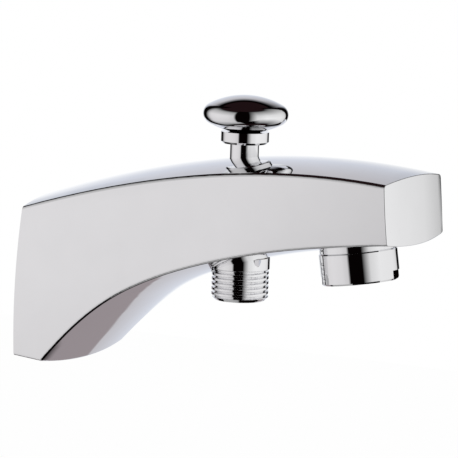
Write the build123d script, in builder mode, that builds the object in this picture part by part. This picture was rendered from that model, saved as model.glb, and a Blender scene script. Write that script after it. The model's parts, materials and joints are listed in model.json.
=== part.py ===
"""Wall-mounted bath spout with a pull-up diverter, a shower outlet and an aerator.

Millimetres, +Z up. The origin is on the wall plane at the inlet axis. +X runs from the wall to the nose.
The knob is drawn down, so the water goes to the nose.
"""

import os
from math import atan2, cos, pi, radians, sin, sqrt, tan

from build123d import *

os.makedirs("parts", exist_ok=True)

# Body outline: each tuple runs from the wall to the nose in equal steps
projection = 149.7
top_heights = (31.1, 45.3, 52.0, 49.0)
half_widths = (29.9, 30.2, 23.4)
crowns = (3.8, 4.3, 1.8)
widest_heights = (-12.8, 37.5)
side_bulge_radius = 186.0
nose_lean = 5.0
nose_lean_height = 26.6
nose_face_radius = 200.0
top_edge_radius = 1.6
lower_edge_radius = 1.2
nose_edge_radius = 0.3

# Foot at the wall and scooped underside
foot_depth = 13.7
foot_height = -29.8
foot_slope = 4.6
foot_arc_radius = 205.0
scoop_start_angle = 47.5
scoop_end_angle = 6.5
scoop_middle = (43.0, -4.9)
scoop_rise = (84.4, 12.8)
scoop_end = (153.0, 25.4)
belly_radius = 150.0

# Casting
wall = 3.6
rim = 4.0
pocket_depth = 9.0
upper_pocket_depth = 13.0
upper_pocket_floor = -9.0
bulkhead = 18.0
web = 4.0

# Inlet, G1/2 inside
inlet_thread_radius = 9.32
inlet_thread_depth = 12.6
inlet_relief = 1.0
inlet_relief_radius = 10.4
inlet_boss_radius = 14.0
inlet_way_radius = 6.8
washer_thickness = 2.0

# Diverter valve, on a vertical axis
diverter_x = 78.6
travel = 6.6
seat_gap = 0.3
seat_lip = 0.7
seat_lip_width = 0.8
seat_bore_radius = 7.6
valve_chamber_radius = 11.6
column_wall = 3.8
chamber_floor = 20.5
lower_seat = 21.8
valve_washer_thickness = 1.5
valve_washer_radius = 8.7
valve_washer_width = 1.6
valve_disc_thickness = 2.0
partition = 2.2
upper_chamber_top = 44.6
guide_end = 39.5
guide_wall = 2.8
port_width = 14.0
port_radius = 1.5

# Diverter stem and knob
stem_radius = 5.3
running_gap = 0.05
rod_radius = 3.0
stem_shoulder = 37.4
stem_flange_radius = 4.2
stem_flange = 1.4
stem_thread_radius = 2.5
valve_nut_radius = 4.4
valve_nut_height = 2.8
stem_seal_wire = 1.4
stem_seal_height = 41.0
knob_radius = 15.6
knob_half_height = 6.9
knob_rim_radius = 3.9
knob_centre = 66.0
collar_radius = 8.8
collar_bottom = 55.3
collar_top = 59.6
collar_chamfer = 0.8
knob_screw_length = 7.0

# Shower outlet, G1/2 outside
outlet_thread_radius = 10.48
outlet_end = -2.1
outlet_thread_top = 6.6
nipple_collar_radius = 10.7
nipple_collar_gap = 0.15
nipple_chamfer = 0.8
spot_face = 14.6
nipple_bore_radius = 7.5
nipple_throat_radius = 5.6
nipple_end_chamfer = 1.3
nipple_seal_wire = 1.8
nipple_groove_radius = 8.5
inner_thread_radius = 9.4
thread_gap = 0.1

# Check valve cartridge in the shower outlet
cage_bottom = -1.4
cage_top = 11.4
cage_wall = 1.0
cage_gap = 0.1
cage_seal_wire = 1.5
check_seat_plate = 1.0
check_seat_radius = 4.4
poppet_radius = 5.3
poppet_rod_radius = 1.5
poppet_travel = 2.0
poppet_thickness = 1.6
poppet_seal_thickness = 1.0
spider = 1.8
spider_arm = 1.6
hub_wall = 1.8

# Aerator, on an axis square to the belly
aerator_setback = 24.1
aerator_bow = 1.8327
aerator_lean = 8.8
outlet_boss_radius = 13.85
outlet_boss_end = 1.5
ledge = 2.0
ledge_radius = 9.4
housing_radius = 14.2
housing_end = 13.0
housing_bore_radius = 10.2
housing_lip_radius = 9.4
housing_lip = 1.3
housing_chamfer = 0.6
spigot_radius = 11.9
spigot_length = 6.4
flat_distance = 13.0
flat_height = 3.4
flat_angle = -16.0
insert_gap = 0.1
insert_wall = 0.9
diffuser_floor = 5.6
diffuser_plate = 1.6
diffuser_hole_radius = 0.8
screens_height = 1.2
grid_pitch = 3.1
grid_bar = 0.8

# Springs
diverter_spring_wire = 0.9
diverter_spring_turns = 5
check_spring_wire = 0.5
check_spring_radius = 2.6
check_spring_turns = 4
coil_steps = 12

# Reach of the shapes that trim the body
lead_in = 14.0
tool_half = 45.0
tool_depth = 42.0
skirt = (-42.0, 12.0)
past_nose = 4.0
section_shares = (0, 0.2, 0.4, 0.6, 0.8, 1)
reach = 120.0

# Levels and radii that follow from the sizes above
diverter_axis = Axis((diverter_x, 0, 0), (0, 0, 1))
lower_washer_bottom = lower_seat + seat_gap
disc_bottom = lower_washer_bottom + valve_washer_thickness
disc_top = disc_bottom + valve_disc_thickness
upper_washer_top = disc_top + valve_washer_thickness
upper_seat = upper_washer_top + travel + seat_gap
partition_bottom = upper_seat + seat_lip
partition_top = partition_bottom + partition
guide_bore = stem_radius + running_gap
guide_radius = guide_bore + guide_wall
column_radius = valve_chamber_radius + column_wall
nipple_seal_radius = nipple_groove_radius + nipple_seal_wire
cage_neck = cage_top - cage_seal_wire - cage_gap
check_seat = cage_neck - check_seat_plate
cage_radius = nipple_bore_radius - cage_gap
cage_neck_radius = nipple_bore_radius - cage_seal_wire
poppet_seal_top = check_seat - seat_gap
poppet_top = poppet_seal_top - poppet_seal_thickness
poppet_bottom = poppet_top - poppet_thickness
spider_top = cage_bottom + spider
insert_radius = housing_bore_radius - insert_gap
screens_top = diffuser_floor + diffuser_plate
straightener_top = screens_top + screens_height
straightener_end = housing_end - housing_lip
washer_end = spigot_length + washer_thickness
inlet_washer_start = inlet_thread_depth + inlet_relief
inlet_washer_end = inlet_washer_start + washer_thickness

# The aerator sits where the belly bows above the line from its rise to its end
aerator_x = projection - aerator_setback
belly_slope = (scoop_end[1] - scoop_rise[1]) / (scoop_end[0] - scoop_rise[0])
aerator_z = scoop_rise[1] + belly_slope * (aerator_x - scoop_rise[0]) + aerator_bow
diverter_plane = Plane(origin=(diverter_x, 0, 0), x_dir=(1, 0, 0), z_dir=(0, -1, 0))
aerator_tilt = radians(aerator_lean)
aerator_plane = Plane(
    origin=(aerator_x, 0, aerator_z),
    x_dir=(cos(aerator_tilt), 0, sin(aerator_tilt)),
    z_dir=(sin(aerator_tilt), 0, -cos(aerator_tilt)),
)


def through(values, x):
    """The value at x of a smooth curve through equally spaced values from the wall to the nose."""
    steps = len(values) - 1
    u = x / projection * steps
    total = 0.0
    for i, value in enumerate(values):
        weight = 1.0
        for j in range(len(values)):
            if j != i:
                weight *= (u - j) / (i - j)
        total += value * weight
    return total


def half_width(x, z):
    """Half the body's width at x and z."""
    off_widest = z - through(widest_heights, x)
    return through(half_widths, x) - off_widest**2 / (2 * side_bulge_radius)


def draw_section(x, bottom, inset):
    """The body's outline across x, down to bottom and moved in by inset, as a sketch."""
    top = through(top_heights, x) - inset
    edge = top - through(crowns, x)
    middle = (edge + bottom) / 2
    low_y = half_width(x, bottom) - inset
    middle_y = half_width(x, middle) - inset
    edge_y = half_width(x, edge) - inset
    with BuildSketch(Plane.YZ.offset(x)) as section:
        with BuildLine():
            ThreePointArc((low_y, bottom), (middle_y, middle), (edge_y, edge))
            ThreePointArc((edge_y, edge), (0, top), (-edge_y, edge))
            ThreePointArc((-edge_y, edge), (-middle_y, middle), (-low_y, bottom))
            Line((-low_y, bottom), (low_y, bottom))
        make_face()
    return section.sketch


def draw_trim(plane, height, arc_radius):
    """What lies below an arc across the body, as a sketch on a plane whose local X is across."""
    side = height + tool_half**2 / (2 * arc_radius)
    with BuildSketch(plane) as trim:
        with BuildLine():
            ThreePointArc((tool_half, side), (0, height), (-tool_half, side))
            Polyline(
                (-tool_half, side),
                (-tool_half, height - tool_depth),
                (tool_half, height - tool_depth),
                (tool_half, side),
            )
        make_face()
    return trim.sketch


def scoop_path():
    """The underside's centre line, from below the foot's front edge to past the nose."""
    start = Vector(cos(radians(scoop_start_angle)), 0, sin(radians(scoop_start_angle)))
    end = Vector(cos(radians(scoop_end_angle)), 0, sin(radians(scoop_end_angle)))
    foot_edge = Vector(foot_depth, 0, foot_height - foot_depth * tan(radians(foot_slope)))
    with BuildLine() as path:
        Spline(
            foot_edge - start * lead_in,
            foot_edge,
            (scoop_middle[0], 0, scoop_middle[1]),
            (scoop_rise[0], 0, scoop_rise[1]),
            (scoop_end[0], 0, scoop_end[1]),
            tangents=(start, end),
        )
    return path.line


def skin(inset, start):
    """The body's outside form from x = start, or its core where inset is the wall's thickness."""
    length = projection + past_nose - start
    path = scoop_path()
    across = Plane(origin=path @ 0, x_dir=(0, 1, 0), z_dir=path % 0)
    lean = radians(nose_lean)
    nose_plane = Plane(
        origin=(projection - inset, 0, nose_lean_height),
        x_dir=(0, 1, 0),
        z_dir=(-sin(lean), 0, cos(lean)),
    )
    with BuildPart() as form:
        for share in section_shares:
            x = start + length * share
            add(draw_section(x, through(skirt, x), inset))
        loft()
        add(draw_trim(nose_plane, 0, nose_face_radius))
        extrude(amount=reach, dir=nose_plane.z_dir, both=True, mode=Mode.SUBTRACT)
        add(draw_trim(across, inset, belly_radius))
        sweep(path=path, mode=Mode.SUBTRACT)
        add(draw_trim(Plane.YZ, foot_height + inset, foot_arc_radius))
        foot_way = Vector(cos(radians(foot_slope)), 0, -sin(radians(foot_slope)))
        extrude(amount=foot_depth + tool_half, dir=foot_way, mode=Mode.SUBTRACT)
    return form


def upright(outer, inner, bottom, top):
    """A plain ring or, where inner is 0, a plain disc on the diverter's axis."""
    with BuildPart() as turned:
        with BuildSketch(Plane.XY.offset(bottom)):
            with Locations((diverter_x, 0)):
                Circle(outer)
                if inner > 0:
                    Circle(inner, mode=Mode.SUBTRACT)
        extrude(amount=top - bottom)
    return turned


def tilted(outer, inner, start, end):
    """A plain ring or disc on the aerator's axis, measured down from the belly."""
    with BuildPart() as turned:
        with BuildSketch(aerator_plane.offset(start)):
            Circle(outer)
            if inner > 0:
                Circle(inner, mode=Mode.SUBTRACT)
        extrude(amount=end - start)
    return turned


def ring_seal(inner, wire, height):
    """A ring seal on the diverter's axis, its section an octagon that touches what the round one touches."""
    with BuildPart() as seal:
        with BuildSketch(diverter_plane):
            with Locations((inner + wire / 2, height)):
                RegularPolygon(wire / 2, 8, major_radius=False, rotation=22.5)
        revolve(axis=diverter_axis)
    return seal


def coil(radius, wire, bottom, top, turns):
    """A spring on the diverter's axis, its wire drawn with flat sides."""
    steps = turns * coil_steps
    with BuildPart() as spring:
        for step in range(steps + 1):
            angle = 2 * pi * turns * step / steps
            height = bottom + wire / 2 + (top - bottom - wire) * step / steps
            across = Plane(
                origin=(diverter_x, 0, height),
                x_dir=(cos(angle), sin(angle), 0),
                z_dir=(-sin(angle), cos(angle), 0),
            )
            with BuildSketch(across):
                with Locations((radius, 0)):
                    RegularPolygon(wire / 2, 6)
        loft(ruled=True)
    return spring


def save(piece, name):
    """Names a piece and writes its file."""
    piece.part.label = name
    export_step(piece.part, f"parts/{name}.step")


# Body: the skin with its edges eased, then the hollows of the casting and the machined bores
outside = skin(0, 0)

with BuildPart() as water_core:
    add(skin(wall, bulkhead).part)
    with BuildSketch(Plane.XY.offset(-reach / 2)):
        with Locations((diverter_x, 0)):
            Circle(column_radius)
            Rectangle(web, reach)
    extrude(amount=reach * 2, mode=Mode.SUBTRACT)

foot_side = foot_height + half_widths[0] ** 2 / (2 * foot_arc_radius)

with BuildPart() as spout_body:
    add(outside.part)
    long_edges = spout_body.edges().filter_by(lambda edge: wall / 2 < edge.center().X < projection - wall)
    fillet(long_edges.sort_by(Axis.Z)[-2:], top_edge_radius)
    long_edges = spout_body.edges().filter_by(lambda edge: wall / 2 < edge.center().X < projection - wall)
    fillet(long_edges.filter_by(lambda edge: edge.center().Z < aerator_z), lower_edge_radius)
    nose_face = spout_body.faces().sort_by(Axis.X)[-1]
    fillet(nose_face.edges(), nose_edge_radius)
    add(water_core.part, mode=Mode.SUBTRACT)

    # Dry pocket at the wall, round the inlet boss
    with BuildSketch(Plane.YZ):
        add(draw_section(0, foot_side + rim, rim))
        Circle(inlet_boss_radius, mode=Mode.SUBTRACT)
    extrude(amount=pocket_depth, mode=Mode.SUBTRACT)
    with BuildSketch(Plane.YZ):
        add(draw_section(0, upper_pocket_floor, rim))
        Circle(inlet_boss_radius, mode=Mode.SUBTRACT)
    extrude(amount=upper_pocket_depth, mode=Mode.SUBTRACT)

    # Inlet
    with BuildSketch(Plane.YZ):
        Circle(inlet_thread_radius)
    extrude(amount=inlet_thread_depth, mode=Mode.SUBTRACT)
    with BuildSketch(Plane.YZ.offset(inlet_thread_depth)):
        Circle(inlet_relief_radius)
    extrude(amount=inlet_washer_end - inlet_thread_depth, mode=Mode.SUBTRACT)
    with BuildSketch(Plane.YZ.offset(inlet_washer_end)):
        Circle(inlet_way_radius)
    extrude(amount=bulkhead, mode=Mode.SUBTRACT)

    # Valve chamber, upper seat and stem guide
    add(upright(nipple_collar_radius + nipple_collar_gap, 0, -reach, spot_face).part, mode=Mode.SUBTRACT)
    add(upright(nipple_seal_radius, 0, spot_face, spot_face + nipple_seal_wire).part, mode=Mode.SUBTRACT)
    add(upright(inner_thread_radius + thread_gap, 0, spot_face, chamber_floor).part, mode=Mode.SUBTRACT)
    add(upright(valve_chamber_radius, 0, chamber_floor, upper_seat).part, mode=Mode.SUBTRACT)
    lip_radius = seat_bore_radius + seat_lip_width
    add(upright(valve_chamber_radius, lip_radius, upper_seat, partition_bottom).part, mode=Mode.SUBTRACT)
    add(upright(seat_bore_radius, 0, upper_seat, partition_top).part, mode=Mode.SUBTRACT)
    add(upright(valve_chamber_radius, 0, partition_top, guide_end).part, mode=Mode.SUBTRACT)
    add(upright(valve_chamber_radius, guide_radius, guide_end, upper_chamber_top).part, mode=Mode.SUBTRACT)
    add(upright(guide_bore, 0, guide_end, reach).part, mode=Mode.SUBTRACT)

    # Port from the inlet side and port to the nose
    with BuildSketch(Plane.YZ.offset(diverter_x - column_radius - wall)):
        with Locations((0, (chamber_floor + upper_seat) / 2)):
            RectangleRounded(port_width, upper_seat - chamber_floor - wall, port_radius)
    extrude(amount=column_radius + wall - valve_washer_radius, mode=Mode.SUBTRACT)
    with BuildSketch(Plane.YZ.offset(diverter_x + guide_radius + running_gap)):
        with Locations((0, (partition_top + upper_chamber_top) / 2)):
            RectangleRounded(port_width, upper_chamber_top - partition_top - port_radius, port_radius)
    extrude(amount=column_radius - guide_radius + wall, mode=Mode.SUBTRACT)

    # Outlet boss under the nose
    add(tilted(outlet_boss_radius, 0, -washer_end - ledge, outlet_boss_end).part)
    add(tilted(spigot_radius + thread_gap, 0, -washer_end, outlet_boss_end).part, mode=Mode.SUBTRACT)
    add(tilted(ledge_radius, 0, -washer_end - ledge, -washer_end).part, mode=Mode.SUBTRACT)
save(spout_body, "spout_body")

with BuildPart() as inlet_washer:
    with BuildSketch(Plane.YZ.offset(inlet_washer_start)):
        Circle(inlet_relief_radius)
        Circle(inlet_way_radius, mode=Mode.SUBTRACT)
    extrude(amount=washer_thickness)
save(inlet_washer, "inlet_washer")

# Shower outlet: one turned nipple, its inner end being the lower valve seat
with BuildPart() as shower_nipple:
    with BuildSketch(diverter_plane):
        with BuildLine():
            Polyline(
                (nipple_bore_radius, outlet_end),
                (outlet_thread_radius - nipple_end_chamfer, outlet_end),
                (outlet_thread_radius, outlet_end + nipple_end_chamfer),
                (outlet_thread_radius, outlet_thread_top),
                (nipple_collar_radius, outlet_thread_top),
                (nipple_collar_radius, spot_face - nipple_chamfer),
                (nipple_collar_radius - nipple_chamfer, spot_face),
                (nipple_groove_radius, spot_face),
                (nipple_groove_radius, spot_face + nipple_seal_wire),
                (inner_thread_radius, spot_face + nipple_seal_wire),
                (inner_thread_radius, lower_seat - seat_lip),
                (seat_bore_radius, lower_seat - seat_lip),
                (seat_bore_radius, lower_seat),
                (nipple_throat_radius, lower_seat),
                (nipple_throat_radius, cage_top),
                (nipple_bore_radius, cage_top),
                close=True,
            )
        make_face()
    revolve(axis=diverter_axis)
save(shower_nipple, "shower_nipple")

nipple_o_ring = ring_seal(nipple_groove_radius, nipple_seal_wire, spot_face + nipple_seal_wire / 2)
save(nipple_o_ring, "nipple_o_ring")

# Check valve cartridge: a cage with a seat at its top and a spider at its foot
with BuildPart() as check_valve_cage:
    add(upright(cage_radius, cage_radius - cage_wall, cage_bottom, check_seat).part)
    add(upright(cage_radius, check_seat_radius, check_seat, cage_neck).part)
    add(upright(cage_neck_radius, check_seat_radius, cage_neck, cage_top).part)
    with BuildSketch(Plane.XY.offset(cage_bottom)):
        with Locations((diverter_x, 0)):
            Circle(poppet_rod_radius + running_gap + hub_wall)
            with PolarLocations(cage_radius / 2, 3):
                Rectangle(cage_radius - cage_wall / 2, spider_arm)
            Circle(poppet_rod_radius + running_gap, mode=Mode.SUBTRACT)
    extrude(amount=spider)
save(check_valve_cage, "check_valve_cage")

check_valve_o_ring = ring_seal(cage_neck_radius, cage_seal_wire, cage_neck + cage_seal_wire / 2)
save(check_valve_o_ring, "check_valve_o_ring")

with BuildPart() as check_valve_poppet:
    add(upright(poppet_radius, 0, poppet_bottom, poppet_top).part)
    add(upright(poppet_rod_radius, 0, outlet_end + poppet_travel, poppet_bottom).part)
save(check_valve_poppet, "check_valve_poppet")

poppet_seal = upright(poppet_radius, 0, poppet_top, poppet_seal_top)
save(poppet_seal, "poppet_seal")

check_valve_spring = coil(check_spring_radius, check_spring_wire, spider_top, poppet_bottom, check_spring_turns)
save(check_valve_spring, "check_valve_spring")

# Diverter knob: a lens on a collar, turned in one piece
screw_top = collar_bottom + knob_screw_length
rim_centre = knob_radius - knob_rim_radius
rise = knob_half_height - knob_rim_radius
face_radius = (rim_centre**2 + knob_half_height**2 - knob_rim_radius**2) / (2 * rise)
sink = face_radius - knob_half_height
rim_angle = atan2(sink, rim_centre)
face_angle = (rim_angle + pi / 2) / 2
rim_x = rim_centre + knob_rim_radius * cos(rim_angle)
rim_z = knob_rim_radius * sin(rim_angle)
neck_z = collar_top - knob_centre
neck_x = sqrt(face_radius**2 - (sink - neck_z) ** 2)
under_angle = (rim_angle + atan2(sink - neck_z, neck_x)) / 2

with BuildPart() as diverter_knob:
    with BuildSketch(diverter_plane.shift_origin((diverter_x, 0, knob_centre))):
        with BuildLine():
            ThreePointArc(
                (0, knob_half_height),
                (face_radius * cos(face_angle), face_radius * sin(face_angle) - sink),
                (rim_x, rim_z),
            )
            ThreePointArc((rim_x, rim_z), (knob_radius, 0), (rim_x, -rim_z))
            ThreePointArc(
                (rim_x, -rim_z),
                (face_radius * cos(under_angle), sink - face_radius * sin(under_angle)),
                (neck_x, neck_z),
            )
            Polyline(
                (neck_x, neck_z),
                (collar_radius, neck_z),
                (collar_radius, collar_bottom + collar_chamfer - knob_centre),
                (collar_radius - collar_chamfer, collar_bottom - knob_centre),
                (rod_radius, collar_bottom - knob_centre),
                (rod_radius, screw_top - knob_centre),
                (0, screw_top - knob_centre),
                (0, knob_half_height),
            )
        make_face()
    revolve(axis=diverter_axis)
save(diverter_knob, "diverter_knob")

with BuildPart() as diverter_stem:
    add(upright(stem_thread_radius, 0, lower_washer_bottom - valve_nut_height, disc_top).part)
    add(upright(stem_flange_radius, 0, disc_top, disc_top + stem_flange).part)
    add(upright(rod_radius, 0, disc_top + stem_flange, stem_shoulder).part)
    add(upright(stem_radius, 0, stem_shoulder, collar_bottom).part)
    add(upright(rod_radius, 0, collar_bottom, screw_top).part)
    groove_bottom = stem_seal_height - stem_seal_wire / 2
    groove_top = stem_seal_height + stem_seal_wire / 2
    add(upright(stem_radius, stem_radius - stem_seal_wire, groove_bottom, groove_top).part, mode=Mode.SUBTRACT)
save(diverter_stem, "diverter_stem")

stem_o_ring = ring_seal(stem_radius - stem_seal_wire, stem_seal_wire, stem_seal_height)
save(stem_o_ring, "stem_o_ring")

valve_disc = upright(valve_washer_radius, stem_thread_radius, disc_bottom, disc_top)
save(valve_disc, "valve_disc")

lower_valve_washer = upright(valve_washer_radius, stem_thread_radius, lower_washer_bottom, disc_bottom)
save(lower_valve_washer, "lower_valve_washer")

washer_inner = valve_washer_radius - valve_washer_width
upper_valve_washer = upright(valve_washer_radius, washer_inner, disc_top, upper_washer_top)
save(upper_valve_washer, "upper_valve_washer")

with BuildPart() as valve_nut:
    with BuildSketch(Plane.XY.offset(lower_washer_bottom - valve_nut_height)):
        with Locations((diverter_x, 0)):
            RegularPolygon(valve_nut_radius, 6)
            Circle(stem_thread_radius, mode=Mode.SUBTRACT)
    extrude(amount=valve_nut_height)
save(valve_nut, "valve_nut")

spring_radius = (guide_bore + washer_inner) / 2
diverter_spring = coil(spring_radius, diverter_spring_wire, disc_top, guide_end, diverter_spring_turns)
save(diverter_spring, "diverter_spring")

# Aerator: a housing with wrench flats, screwed into the outlet boss, and the pieces stacked in it
with BuildPart() as aerator_housing:
    add(tilted(housing_radius, 0, outlet_boss_end, housing_end).part)
    rims = aerator_housing.edges().filter_by(GeomType.CIRCLE)
    chamfer(rims, housing_chamfer)
    add(tilted(spigot_radius, 0, -spigot_length, outlet_boss_end).part)
    add(tilted(housing_bore_radius, 0, -spigot_length, straightener_end).part, mode=Mode.SUBTRACT)
    add(tilted(housing_lip_radius, 0, straightener_end, housing_end).part, mode=Mode.SUBTRACT)
    with BuildSketch(aerator_plane.offset(housing_end - flat_height)):
        Circle(housing_radius * 2)
        Rectangle(flat_distance * 2, housing_radius * 3, rotation=flat_angle, mode=Mode.SUBTRACT)
    extrude(amount=flat_height, mode=Mode.SUBTRACT)
save(aerator_housing, "aerator_housing")

aerator_washer = tilted(spigot_radius, ledge_radius, -washer_end, -spigot_length)
save(aerator_washer, "aerator_washer")

with BuildPart() as aerator_diffuser:
    add(tilted(insert_radius, insert_radius - insert_wall, -spigot_length, diffuser_floor).part)
    with BuildSketch(aerator_plane.offset(diffuser_floor)):
        Circle(insert_radius)
        with PolarLocations(insert_radius * 0.66, 12):
            Circle(diffuser_hole_radius, mode=Mode.SUBTRACT)
        with PolarLocations(insert_radius * 0.33, 6):
            Circle(diffuser_hole_radius, mode=Mode.SUBTRACT)
    extrude(amount=diffuser_plate)
save(aerator_diffuser, "aerator_diffuser")

aerator_screens = tilted(insert_radius, 0, screens_top, straightener_top)
save(aerator_screens, "aerator_screens")

with BuildPart() as aerator_straightener:
    clear_radius = insert_radius - insert_wall
    with BuildSketch(aerator_plane.offset(straightener_top)):
        Circle(insert_radius)
        with BuildSketch(mode=Mode.SUBTRACT):
            with GridLocations(grid_pitch, grid_pitch, 7, 7):
                Rectangle(grid_pitch - grid_bar, grid_pitch - grid_bar)
            Circle(clear_radius, mode=Mode.INTERSECT)
    extrude(amount=straightener_end - straightener_top)
save(aerator_straightener, "aerator_straightener")
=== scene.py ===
"""Looks of the bath spout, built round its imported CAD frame: metres, +Z up, +X from wall to nose."""

import json
from math import cos, pi, radians, sin

import bmesh
import bpy
from mathutils import Matrix, Vector
from mathutils.bvhtree import BVHTree


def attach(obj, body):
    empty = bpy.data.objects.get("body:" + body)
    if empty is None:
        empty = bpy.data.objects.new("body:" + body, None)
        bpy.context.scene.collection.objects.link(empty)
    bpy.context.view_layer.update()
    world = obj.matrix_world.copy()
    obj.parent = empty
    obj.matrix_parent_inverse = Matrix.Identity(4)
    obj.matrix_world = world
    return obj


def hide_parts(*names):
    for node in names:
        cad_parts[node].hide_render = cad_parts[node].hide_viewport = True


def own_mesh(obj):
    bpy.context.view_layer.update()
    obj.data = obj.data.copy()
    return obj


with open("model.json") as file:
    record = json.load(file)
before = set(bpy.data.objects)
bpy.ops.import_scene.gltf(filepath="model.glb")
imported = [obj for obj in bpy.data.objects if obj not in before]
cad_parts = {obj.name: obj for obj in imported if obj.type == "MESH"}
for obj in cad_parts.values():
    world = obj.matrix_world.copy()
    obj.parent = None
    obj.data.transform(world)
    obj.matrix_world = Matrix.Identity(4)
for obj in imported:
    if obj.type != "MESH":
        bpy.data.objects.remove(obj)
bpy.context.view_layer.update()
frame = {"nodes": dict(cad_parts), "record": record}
nodes = frame["nodes"]
scene = bpy.context.scene
scene.view_settings.view_transform = "Standard"

MM = 0.001

# Camera, fitted to the photograph's outline
IMAGE = 458
SENSOR = 36.0
AZIMUTH = radians(28.2586)
ELEVATION = radians(7.7171)
ROLL = radians(1.8986)
DISTANCE_MM = 1100
PIXELS_PER_MM = 2.7238
FOCAL_PX = PIXELS_PER_MM * DISTANCE_MM
MIDDLE = Vector((75, 0, -8.4)) * MM
AIM_LEFT = 1.5104 * MM
AIM_UP = 31.5049 * MM
right = Vector((cos(AZIMUTH), sin(AZIMUTH), 0))
back = Vector((sin(AZIMUTH) * cos(ELEVATION), -cos(AZIMUTH) * cos(ELEVATION), sin(ELEVATION)))
up = Vector((-sin(ELEVATION) * sin(AZIMUTH), sin(ELEVATION) * cos(AZIMUTH), cos(ELEVATION)))
target = MIDDLE - right * AIM_LEFT + up * AIM_UP
camera_right = cos(ROLL) * right + sin(ROLL) * up
camera_up = cos(ROLL) * up - sin(ROLL) * right
camera_data = bpy.data.cameras.new("camera")
camera_data.sensor_width = SENSOR
camera_data.lens = FOCAL_PX / IMAGE * SENSOR
camera_data.clip_start = 0.05
camera_data.clip_end = 20
camera = bpy.data.objects.new("camera", camera_data)
scene.collection.objects.link(camera)
turn = Matrix((camera_right, camera_up, back)).transposed()
camera.matrix_world = Matrix.Translation(target + back * DISTANCE_MM * MM) @ turn.to_4x4()
scene.camera = camera

# Sizes that the new pieces share with the CAD, in metres
DIVERTER_X = 78.6 * MM
THREAD_PITCH = 1.814 * MM
THREAD_CREST = 10.48 * MM
THREAD_ROOT = 9.32 * MM
THREAD_START = -1.0 * MM
THREAD_END = 8.6 * MM
NIPPLE_END = -2.1 * MM
NIPPLE_END_RADIUS = 9.18 * MM
NIPPLE_BORE = 7.5 * MM
COLLAR_RADIUS = 10.7 * MM
COLLAR_CHAMFER = 0.8 * MM
SPOT_FACE = 14.6 * MM
GROOVE_RADIUS = 8.5 * MM
GROOVE_HEIGHT = 1.8 * MM
INNER_THREAD_RADIUS = 9.4 * MM
SEAT_FOOT = 21.1 * MM
SEAT_TOP = 21.8 * MM
SEAT_RADIUS = 7.6 * MM
THROAT_RADIUS = 5.6 * MM
CAGE_TOP = 11.4 * MM
INLET_THREAD_RADIUS = 9.32 * MM
INLET_THREAD_DEPTH = 12.6 * MM
AERATOR_CENTRE = Vector((125.6, 0, 22.2)) * MM
AERATOR_LEAN = radians(8.8)
SCREEN_RADIUS = 10.1 * MM
SCREEN_TOP = 7.2 * MM
SCREEN_HEIGHT = 1.2 * MM
SCREEN_PITCH = 0.72 * MM
SCREEN_WIRE = 0.26 * MM


# The middle of a noise's range
NOISE_LOW = 0.3
NOISE_HIGH = 0.7


def new_material(name):
    material = bpy.data.materials.new(name)
    material.use_nodes = True
    tree = material.node_tree
    shader = tree.nodes["Principled BSDF"]
    return material, tree, shader


def place_on(tree):
    return tree.nodes.new("ShaderNodeTexCoord").outputs["Object"]


def grain(tree, place, scale, detail=3.0):
    """Cloudy noise over a place, with about scale lumps to the metre."""
    node = tree.nodes.new("ShaderNodeTexNoise")
    node.inputs["Scale"].default_value = scale
    node.inputs["Detail"].default_value = detail
    tree.links.new(place, node.inputs["Vector"])
    return node.outputs["Fac"]


def spread(tree, value, low, high):
    """Maps the middle of a noise's range to low and high."""
    node = tree.nodes.new("ShaderNodeMapRange")
    node.inputs["From Min"].default_value = NOISE_LOW
    node.inputs["From Max"].default_value = NOISE_HIGH
    node.inputs["To Min"].default_value = low
    node.inputs["To Max"].default_value = high
    tree.links.new(value, node.inputs["Value"])
    return node.outputs["Result"]


def profile(tree, value, stops):
    """A colour ramp along value, whose stops are given as (place, level or colour)."""
    node = tree.nodes.new("ShaderNodeValToRGB")
    first = stops[0][0]
    length = stops[-1][0] - first
    ramp = node.color_ramp
    while len(ramp.elements) < len(stops):
        ramp.elements.new(0.5)
    for element, (place, level) in zip(ramp.elements, stops):
        colour = level if isinstance(level, tuple) else (level, level, level)
        element.position = (place - first) / length
        element.color = (*colour, 1)
    tree.links.new(value, node.inputs["Fac"])
    return node.outputs["Color"]


def raised(tree, shader, height, distance):
    """Bumps the shader's surface by a height between 0 and 1 times a distance."""
    bump = tree.nodes.new("ShaderNodeBump")
    bump.inputs["Strength"].default_value = 1.0
    bump.inputs["Distance"].default_value = distance
    tree.links.new(height, bump.inputs["Height"])
    tree.links.new(bump.outputs["Normal"], shader.inputs["Normal"])


def finish_of(name, dark, light, roughness, metallic, colour_scale, grain_scale, depth):
    """A material whose colour drifts between dark and light, and whose grain shows in gloss and relief."""
    material, tree, shader = new_material(name)
    place = place_on(tree)
    drift = grain(tree, place, colour_scale)
    fine = grain(tree, place, grain_scale)
    stops = [(0, dark), (NOISE_LOW, dark), (NOISE_HIGH, light), (1, light)]
    tree.links.new(profile(tree, drift, stops), shader.inputs["Base Color"])
    tree.links.new(spread(tree, fine, *roughness), shader.inputs["Roughness"])
    shader.inputs["Metallic"].default_value = metallic
    raised(tree, shader, fine, depth)
    return material


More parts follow.
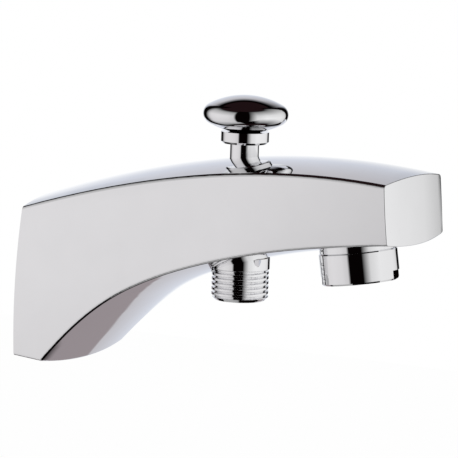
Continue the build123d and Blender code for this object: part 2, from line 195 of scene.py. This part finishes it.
# Finishes
chrome = finish_of(
    "chrome", dark=(0.875, 0.875, 0.885), light=(0.89, 0.89, 0.90), roughness=(0.022, 0.042),
    metallic=1.0, colour_scale=90, grain_scale=240, depth=0.0000012,
)
casting = finish_of(
    "raw_casting", dark=(0.44, 0.33, 0.17), light=(0.62, 0.48, 0.27), roughness=(0.42, 0.62),
    metallic=1.0, colour_scale=160, grain_scale=1400, depth=0.00016,
)
brass = finish_of(
    "bare_brass", dark=(0.66, 0.49, 0.22), light=(0.76, 0.59, 0.31), roughness=(0.22, 0.36),
    metallic=1.0, colour_scale=220, grain_scale=2600, depth=0.00001,
)
rubber = finish_of(
    "black_rubber", dark=(0.018, 0.018, 0.019), light=(0.036, 0.036, 0.037), roughness=(0.52, 0.7),
    metallic=0.0, colour_scale=300, grain_scale=5200, depth=0.00002,
)
white_plastic = finish_of(
    "white_plastic", dark=(0.78, 0.78, 0.755), light=(0.86, 0.86, 0.84), roughness=(0.34, 0.46),
    metallic=0.0, colour_scale=150, grain_scale=4200, depth=0.000008,
)
grey_plastic = finish_of(
    "grey_plastic", dark=(0.40, 0.41, 0.42), light=(0.50, 0.51, 0.52), roughness=(0.36, 0.5),
    metallic=0.0, colour_scale=150, grain_scale=4200, depth=0.00001,
)
steel = finish_of(
    "spring_steel", dark=(0.52, 0.52, 0.53), light=(0.66, 0.66, 0.67), roughness=(0.2, 0.34),
    metallic=1.0, colour_scale=700, grain_scale=5200, depth=0.000006,
)

FINISHES = {
    "chrome": chrome,
    "bare_brass": brass,
    "black_rubber": rubber,
    "white_plastic": white_plastic,
    "grey_plastic": grey_plastic,
    "spring_steel": steel,
}
slots = {subpart["node"]: subpart["material_slot"] for subpart in frame["record"]["subparts"]}
for name in nodes:
    mesh = nodes[name].data
    mesh.materials.clear()
    mesh.materials.append(FINISHES[slots[name]])

# Body: chrome outside, raw casting in its hollows and bores, and turned brass in the inlet's bore
body_mesh = nodes["spout_body"].data
body_mesh.materials.append(casting)
body_mesh.materials.append(brass)
body_tree = BVHTree.FromPolygons(
    [vertex.co for vertex in body_mesh.vertices], [polygon.vertices for polygon in body_mesh.polygons]
)
CASTING_INDEX = 1
BRASS_INDEX = 2
BORE_TOLERANCE = 0.08 * MM
WALL_RIM = 0.4 * MM
OUTLOOKS = 40
AWAY_FROM_WALL = 0.05
IN_FRONT = 0.15
OFF_FACE = 0.01 * MM
outlooks = []
for i in range(OUTLOOKS):
    height = 1 - 2 * (i + 0.5) / OUTLOOKS
    turned_by = i * pi * (3 - 5**0.5)
    level = (1 - height * height) ** 0.5
    outlook = Vector((level * cos(turned_by), level * sin(turned_by), height))
    if outlook.x > AWAY_FROM_WALL:
        outlooks.append(outlook)


def looks_out(polygon):
    """Whether a face sees past the body without looking back through the wall."""
    start = polygon.center + polygon.normal * OFF_FACE
    for outlook in outlooks:
        if outlook.dot(polygon.normal) > IN_FRONT and body_tree.ray_cast(start, outlook)[0] is None:
            return True
    return False


for polygon in body_mesh.polygons:
    centre = polygon.center
    off_axis = (centre.y**2 + centre.z**2) ** 0.5
    if centre.x < INLET_THREAD_DEPTH and abs(off_axis - INLET_THREAD_RADIUS) < BORE_TOLERANCE:
        polygon.material_index = BRASS_INDEX
    elif centre.x > WALL_RIM and not looks_out(polygon):
        polygon.material_index = CASTING_INDEX


def new_piece(name, points, faces, material, body, node, smooth_angle):
    """A new mesh on a body, which stands for a CAD node where one is given."""
    mesh = bpy.data.meshes.new(name)
    mesh.from_pydata(points, [], faces)
    shell = bmesh.new()
    shell.from_mesh(mesh)
    bmesh.ops.recalc_face_normals(shell, faces=shell.faces)
    shell.to_mesh(mesh)
    shell.free()
    mesh.shade_smooth()
    mesh.set_sharp_from_angle(angle=radians(smooth_angle))
    mesh.materials.append(material)
    obj = bpy.data.objects.new(name, mesh)
    scene.collection.objects.link(obj)
    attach(obj, body)
    if node is not None:
        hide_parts(node)
    return obj


def band_faces(rows, columns, closed):
    """Quads of a grid of rows that close on themselves; closed also joins the last row to the first."""
    faces = []
    for j in range(rows if closed else rows - 1):
        following = (j + 1) % rows
        for i in range(columns):
            beside = (i + 1) % columns
            lower = j * columns
            upper = following * columns
            faces.append((lower + i, lower + beside, upper + beside, upper + i))
    return faces


# Shower outlet with its thread cut
SEGMENTS = 120
THREAD_STEP = THREAD_PITCH / 44
ROOT_FLAT = 0.1
FLANK = 0.5
END_FLAT = 0.2 * MM
RELIEF_START = THREAD_END + 0.05 * MM
RELIEF_END = THREAD_END + 0.55 * MM
COLLAR_FOOT = THREAD_END + 0.75 * MM
COLLAR_START = THREAD_END + 1.0 * MM
COLLAR_FOOT_CUT = 0.25 * MM
TURNED_SHARP = 38
ROUND_SHARP = 60
SCREEN_SHARP = 40


def ridge(along, angle):
    """A thread's height between root and crest, both rounded, at a place along its axis and round it."""
    phase = along / THREAD_PITCH - angle / (2 * pi)
    rise = abs(2 * (phase % 1) - 1)
    share = min(max((rise - ROOT_FLAT) / FLANK, 0), 1)
    return share * share * (3 - 2 * share)


def thread_radius(height, angle):
    """The outlet thread's radius, cut back by the chamfer at the nipple's end."""
    radius = THREAD_ROOT + (THREAD_CREST - THREAD_ROOT) * ridge(height - THREAD_START, angle)
    return min(radius, NIPPLE_END_RADIUS + (height - NIPPLE_END))


def nipple_rows():
    """The nipple's section from its bore's foot round the outside and back, as (height, radius).

    In the thread the radius is None.
    """
    rows = [(NIPPLE_END, NIPPLE_BORE), (NIPPLE_END, NIPPLE_END_RADIUS - END_FLAT)]
    steps = round((THREAD_END - NIPPLE_END) / THREAD_STEP)
    for step in range(steps + 1):
        rows.append((NIPPLE_END + (THREAD_END - NIPPLE_END) * step / steps, None))
    rows += [
        (RELIEF_START, THREAD_ROOT),
        (RELIEF_END, THREAD_ROOT),
        (COLLAR_FOOT, COLLAR_RADIUS - COLLAR_FOOT_CUT),
        (COLLAR_START, COLLAR_RADIUS),
        (SPOT_FACE - COLLAR_CHAMFER, COLLAR_RADIUS),
        (SPOT_FACE, COLLAR_RADIUS - COLLAR_CHAMFER),
        (SPOT_FACE, GROOVE_RADIUS),
        (SPOT_FACE + GROOVE_HEIGHT, GROOVE_RADIUS),
        (SPOT_FACE + GROOVE_HEIGHT, INNER_THREAD_RADIUS),
        (SEAT_FOOT, INNER_THREAD_RADIUS),
        (SEAT_FOOT, SEAT_RADIUS),
        (SEAT_TOP, SEAT_RADIUS),
        (SEAT_TOP, THROAT_RADIUS),
        (CAGE_TOP, THROAT_RADIUS),
        (CAGE_TOP, NIPPLE_BORE),
    ]
    return rows


points = []
rows = nipple_rows()
for height, radius in rows:
    for i in range(SEGMENTS):
        angle = 2 * pi * i / SEGMENTS
        out = thread_radius(height, angle) if radius is None else radius
        points.append((DIVERTER_X + out * cos(angle), out * sin(angle), height))
new_piece(
    "shower_nipple_threaded", points, band_faces(len(rows), SEGMENTS, True), chrome, "spout",
    "shower_nipple", TURNED_SHARP,
)

# Ridges of the inlet's thread, which stand inwards from its bore and are buried in the wall between them
INLET_RIDGE_START = 0.8 * MM
INLET_RIDGE_END = 12.3 * MM
INLET_LEAD_IN = 1.6 * MM
INLET_RIDGE = 0.6 * MM
INLET_BURIED = 0.1 * MM
INLET_BACK = 0.3 * MM
INLET_STEP = THREAD_PITCH / 24

inlet_steps = round((INLET_RIDGE_END - INLET_RIDGE_START) / INLET_STEP)
inlet_rows = [(INLET_RIDGE_START, True)]
for step in range(inlet_steps + 1):
    along = INLET_RIDGE_START + (INLET_RIDGE_END - INLET_RIDGE_START) * step / inlet_steps
    inlet_rows.append((along, False))
inlet_rows.append((INLET_RIDGE_END, True))
points = []
for along, in_wall in inlet_rows:
    lead = min((along - INLET_RIDGE_START) / INLET_LEAD_IN, 1)
    for i in range(SEGMENTS):
        angle = 2 * pi * i / SEGMENTS
        out = INLET_THREAD_RADIUS + INLET_BURIED - (INLET_RIDGE + INLET_BURIED) * ridge(along, angle) * lead
        if in_wall:
            out = INLET_THREAD_RADIUS + INLET_BACK
        points.append((along, out * cos(angle), out * sin(angle)))
new_piece(
    "inlet_thread_ridges", points, band_faces(len(inlet_rows), SEGMENTS, True), brass, "spout",
    None, TURNED_SHARP,
)


# Seals and springs, all on the diverter's axis
FLASH = 0.03 * MM
RING_AROUND = 96
RING_ACROSS = 24
COIL_STEPS = 36
COIL_ACROSS = 14
COIL_CLOSING = 0.55


def on_axis(out, turned_by, height):
    return (DIVERTER_X + out * cos(turned_by), out * sin(turned_by), height)


def ring(name, node, body, radius, wire, height):
    """A round rubber seal, with the fine flash line of its mould round its outside."""
    points = []
    for j in range(RING_AROUND):
        turned_by = 2 * pi * j / RING_AROUND
        for i in range(RING_ACROSS):
            angle = 2 * pi * i / RING_ACROSS
            flash = FLASH if i == 0 else 0
            out = radius + (wire / 2 + flash) * cos(angle)
            points.append(on_axis(out, turned_by, height + wire / 2 * sin(angle)))
    faces = band_faces(RING_AROUND, RING_ACROSS, True)
    return new_piece(name, points, faces, rubber, body, node, ROUND_SHARP)


ring("nipple_seal_ring", "nipple_o_ring", "spout", radius=9.4 * MM, wire=1.8 * MM, height=15.5 * MM)
ring("cage_seal_ring", "check_valve_o_ring", "spout", radius=6.75 * MM, wire=1.5 * MM, height=10.65 * MM)
ring("stem_seal_ring", "stem_o_ring", "diverter", radius=4.6 * MM, wire=1.4 * MM, height=41.0 * MM)


def coil(name, node, radius, wire, bottom, top, turns):
    """A wound spring with its end turns closed, on a mesh of its own."""
    steps = COIL_STEPS * turns
    points = []
    for j in range(steps + 1):
        share = j / steps
        turned_by = 2 * pi * turns * share
        settled = share - sin(2 * pi * share) / (2 * pi) * COIL_CLOSING
        height = bottom + wire / 2 + (top - bottom - wire) * settled
        for i in range(COIL_ACROSS):
            angle = 2 * pi * i / COIL_ACROSS
            out = radius + wire / 2 * cos(angle)
            points.append(on_axis(out, turned_by, height + wire / 2 * sin(angle)))
    faces = band_faces(steps + 1, COIL_ACROSS, False)
    faces.append(tuple(range(COIL_ACROSS - 1, -1, -1)))
    faces.append(tuple(steps * COIL_ACROSS + i for i in range(COIL_ACROSS)))
    obj = new_piece(name, points, faces, steel, "spout", node, ROUND_SHARP)
    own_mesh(obj)
    return obj


coil(
    "diverter_coil", "diverter_spring",
    radius=6.225 * MM, wire=0.9 * MM, bottom=25.6 * MM, top=39.5 * MM, turns=5,
)
coil(
    "check_coil", "check_valve_spring",
    radius=2.6 * MM, wire=0.5 * MM, bottom=0.4 * MM, top=5.9 * MM, turns=4,
)

# Wire screens of the aerator: two woven layers in a rim
WIRE_ACROSS = 6
WIRE_STEPS = 4
SCREEN_MARGIN = 0.2 * MM
UPPER_LAYER = SCREEN_TOP + 0.32 * MM
LOWER_LAYER = SCREEN_TOP + 0.88 * MM
LAYER_TURN = radians(38)
RIM_WIDTH = 0.9 * MM
RIM_INSIDE = SCREEN_RADIUS - RIM_WIDTH
RIM_FOOT = SCREEN_TOP + SCREEN_HEIGHT
aerator_out = Vector((sin(AERATOR_LEAN), 0, -cos(AERATOR_LEAN)))
aerator_across = Vector((cos(AERATOR_LEAN), 0, sin(AERATOR_LEAN)))
aerator_side = Vector((0, 1, 0))


def in_aerator(u, v, depth):
    return AERATOR_CENTRE + aerator_across * u + aerator_side * v + aerator_out * depth


def woven(points, faces, depth, turned_by):
    """Adds one woven layer: wires both ways, each passing over and under the next ones."""
    count = round(SCREEN_RADIUS / SCREEN_PITCH)
    for lengthwise in (True, False):
        for k in range(-count + 1, count):
            offset = k * SCREEN_PITCH
            reach = ((SCREEN_RADIUS - SCREEN_MARGIN) ** 2 - offset**2) ** 0.5
            steps = max(2, round(2 * reach / SCREEN_PITCH * WIRE_STEPS))
            start = len(points)
            for j in range(steps + 1):
                along = reach * (2 * j / steps - 1)
                sway = SCREEN_WIRE / 2 * cos(pi * (along / SCREEN_PITCH + k + (0 if lengthwise else 1)))
                for i in range(WIRE_ACROSS):
                    angle = 2 * pi * i / WIRE_ACROSS
                    side = offset + SCREEN_WIRE / 2 * cos(angle)
                    deep = depth + sway + SCREEN_WIRE / 2 * sin(angle)
                    u, v = (along, side) if lengthwise else (side, along)
                    turned_u = u * cos(turned_by) - v * sin(turned_by)
                    turned_v = u * sin(turned_by) + v * cos(turned_by)
                    points.append(in_aerator(turned_u, turned_v, deep))
            for face in band_faces(steps + 1, WIRE_ACROSS, False):
                faces.append(tuple(start + corner for corner in face))
            faces.append(tuple(start + i for i in range(WIRE_ACROSS)))
            faces.append(tuple(start + steps * WIRE_ACROSS + i for i in range(WIRE_ACROSS)))


points = []
faces = []
woven(points, faces, UPPER_LAYER, 0)
woven(points, faces, LOWER_LAYER, LAYER_TURN)
rim_section = [
    (RIM_INSIDE, SCREEN_TOP),
    (SCREEN_RADIUS, SCREEN_TOP),
    (SCREEN_RADIUS, RIM_FOOT),
    (RIM_INSIDE, RIM_FOOT),
]
start = len(points)
for radius, depth in rim_section:
    for i in range(SEGMENTS):
        angle = 2 * pi * i / SEGMENTS
        points.append(in_aerator(radius * cos(angle), radius * sin(angle), depth))
for face in band_faces(len(rim_section), SEGMENTS, True):
    faces.append(tuple(start + corner for corner in face))
new_piece("aerator_mesh", points, faces, steel, "spout", "aerator_screens", SCREEN_SHARP)

# White studio: a white world, a pale floor far below and cards round the object that its chrome mirrors
world = bpy.data.worlds.new("studio")
scene.world = world
world.use_nodes = True
world.node_tree.nodes["Background"].inputs["Color"].default_value = (1, 1, 1, 1)
world.node_tree.nodes["Background"].inputs["Strength"].default_value = 1.0

STUDIO_CENTRE = Vector((75, 0, 20)) * MM
CARD_RADIUS = 1.1
LOW_FLAG_RADIUS = CARD_RADIUS * 0.72
CEILING_RADIUS = CARD_RADIUS * 1.04
CARD_STEPS = 32


def direction(azimuth, elevation):
    """The way to a place in the studio: azimuth 0 is behind the camera, and 90 is to its right."""
    a = AZIMUTH + radians(azimuth)
    e = radians(elevation)
    return Vector((sin(a) * cos(e), -cos(a) * cos(e), sin(e)))


def card(name, across, upward, radius=CARD_RADIUS):
    """A curved card round the object; its two profiles give its extent, and their product its glow."""
    steps = CARD_STEPS
    start = across[0][0]
    low = upward[0][0]
    width = across[-1][0] - start
    height = upward[-1][0] - low
    points = []
    places = []
    for j in range(steps + 1):
        for i in range(steps + 1):
            u = i / steps
            v = j / steps
            points.append(STUDIO_CENTRE + direction(start + width * u, low + height * v) * radius)
            places.append((u, v))
    faces = []
    for j in range(steps):
        for i in range(steps):
            k = j * (steps + 1) + i
            faces.append((k, k + 1, k + steps + 2, k + steps + 1))
    mesh = bpy.data.meshes.new(name)
    mesh.from_pydata(points, [], faces)
    layer = mesh.uv_layers.new(name="place")
    for loop in mesh.loops:
        layer.data[loop.index].uv = places[loop.vertex_index]
    material = bpy.data.materials.new(name)
    material.use_nodes = True
    tree = material.node_tree
    tree.nodes.clear()
    coordinates = tree.nodes.new("ShaderNodeTexCoord")
    split = tree.nodes.new("ShaderNodeSeparateXYZ")
    product = tree.nodes.new("ShaderNodeVectorMath")
    glow = tree.nodes.new("ShaderNodeEmission")
    output = tree.nodes.new("ShaderNodeOutputMaterial")
    product.operation = "MULTIPLY"
    tree.links.new(coordinates.outputs["UV"], split.inputs[0])
    tree.links.new(profile(tree, split.outputs["X"], across), product.inputs[0])
    tree.links.new(profile(tree, split.outputs["Y"], upward), product.inputs[1])
    tree.links.new(product.outputs[0], glow.inputs["Color"])
    tree.links.new(glow.outputs[0], output.inputs["Surface"])
    mesh.materials.append(material)
    obj = bpy.data.objects.new(name, mesh)
    scene.collection.objects.link(obj)
    obj.visible_camera = False
    obj.visible_diffuse = False
    obj.visible_shadow = False
    return obj


# Shades of the cards
DARK = (0.0018, 0.0009, 0.001)
WARM_DARK = (0.014, 0.0065, 0.0075)
WARM_WHITE = (1.0, 0.985, 0.995)
WARM_SHADE = (0.85, 0.835, 0.845)
COOL_WHITE = (0.96, 0.975, 1.0)
COOL_GREY = (0.7, 0.73, 0.81)
MID_GREY = (0.57, 0.56, 0.59)
BROWN_GREY = (0.33, 0.29, 0.305)

# Where the cards meet, in degrees round and above the object
CARD_FOOT = -54
CARD_TOP = 62
LEFT_END = -130
FLAG_LEFT = -27
FLAG_RIGHT = 10
RIGHT_END = 135.9
BACK_START = 156
BACK_END = 206
BACK_FOOT = -12
CEILING_FOOT = 43
ALL_HEIGHTS = [(CARD_FOOT, 1.0), (CARD_TOP, 1.0)]

card(
    "left_softbox",
    [(LEFT_END, 0.05), (-114, 0.66), (-104, 0.78), (-82, 0.81), (-50, 0.765), (-33, 0.66),
     (FLAG_LEFT, 0.0)],
    [(CARD_FOOT, WARM_SHADE), (-5, WARM_WHITE), (10, WARM_WHITE), (40, 0.55), (54, 0.0)],
)
card(
    "right_softbox",
    [(FLAG_RIGHT, 0.0), (32, 0.77), (60, 0.94), (110, 0.9), (126, 0.8), (134.6, 0.62), (RIGHT_END, 0.0)],
    [(CARD_FOOT, 0.84), (-5, 1.0), (18, 0.87), (55, 0.27), (64, 0.0)],
)
card("camera_flag", [(FLAG_LEFT, DARK), (FLAG_RIGHT, DARK)], ALL_HEIGHTS)
card("left_gap", [(BACK_END - 360, DARK), (LEFT_END, DARK)], ALL_HEIGHTS)
card("right_gap", [(RIGHT_END, DARK), (BACK_START, DARK)], [(BACK_FOOT, 1.0), (CARD_TOP, 1.0)])
card(
    "backdrop",
    [(BACK_START, 0.0), (171, 0.9), (178, 1.0), (192, 1.0), (BACK_END, 0.5)],
    [(BACK_FOOT, COOL_WHITE), (1.5, COOL_WHITE), (15, COOL_GREY), (32, MID_GREY), (42, DARK), (47, DARK)],
)
card(
    "low_backdrop",
    [(RIGHT_END, 0.2), (148, 1.0), (BACK_END, 1.0)],
    [(CARD_FOOT, DARK), (-48.4, DARK), (-47, BROWN_GREY), (-33, BROWN_GREY), (-32, MID_GREY),
     (-17, COOL_GREY), (BACK_FOOT, COOL_WHITE)],
)
card(
    "low_flag",
    [(-180, 0.02), (-165, 0.3), (-130, 0.45), (-70, 0.45), (-40, 0.1), (-24, DARK), (180, DARK)],
    [(-90, 1.0), (CARD_FOOT, 1.0)],
    LOW_FLAG_RADIUS,
)
card("ceiling_flag", [(-180, WARM_DARK), (180, WARM_DARK)], [(CEILING_FOOT, 1.0), (90, 1.0)], CEILING_RADIUS)

# Floor: pale, and seen nearly white by the camera and in the chrome
FLOOR_HALF = 8.0
FLOOR_HEIGHT = -1.6
FLOOR_COLOUR = (0.85, 0.85, 0.85, 1)
FLOOR_ROUGHNESS = 0.8
FLOOR_GLOW = 0.94
floor_mesh = bpy.data.meshes.new("floor")
corners = [
    (-FLOOR_HALF, -FLOOR_HALF, FLOOR_HEIGHT),
    (FLOOR_HALF, -FLOOR_HALF, FLOOR_HEIGHT),
    (FLOOR_HALF, FLOOR_HALF, FLOOR_HEIGHT),
    (-FLOOR_HALF, FLOOR_HALF, FLOOR_HEIGHT),
]
floor_mesh.from_pydata(corners, [], [(0, 1, 2, 3)])
floor = bpy.data.objects.new("floor", floor_mesh)
scene.collection.objects.link(floor)
floor_material, tree, shader = new_material("floor")
shader.inputs["Base Color"].default_value = FLOOR_COLOUR
shader.inputs["Roughness"].default_value = FLOOR_ROUGHNESS
floor_glow = tree.nodes.new("ShaderNodeEmission")
floor_glow.inputs["Color"].default_value = (1, 1, 1, 1)
floor_glow.inputs["Strength"].default_value = 1.0
rays = tree.nodes.new("ShaderNodeLightPath")
seen = tree.nodes.new("ShaderNodeMath")
seen.operation = "MAXIMUM"
tree.links.new(rays.outputs["Is Camera Ray"], seen.inputs[0])
tree.links.new(rays.outputs["Is Glossy Ray"], seen.inputs[1])
seen_clear = tree.nodes.new("ShaderNodeMath")
seen_clear.operation = "MAXIMUM"
tree.links.new(seen.outputs["Value"], seen_clear.inputs[0])
tree.links.new(rays.outputs["Is Transmission Ray"], seen_clear.inputs[1])
share = tree.nodes.new("ShaderNodeMath")
share.operation = "MULTIPLY"
share.inputs[1].default_value = FLOOR_GLOW
tree.links.new(seen_clear.outputs["Value"], share.inputs[0])
floor_mix = tree.nodes.new("ShaderNodeMixShader")
tree.links.new(share.outputs["Value"], floor_mix.inputs[0])
tree.links.new(shader.outputs[0], floor_mix.inputs[1])
tree.links.new(floor_glow.outputs[0], floor_mix.inputs[2])
tree.links.new(floor_mix.outputs[0], tree.nodes["Material Output"].inputs["Surface"])
floor_mesh.materials.append(floor_material)
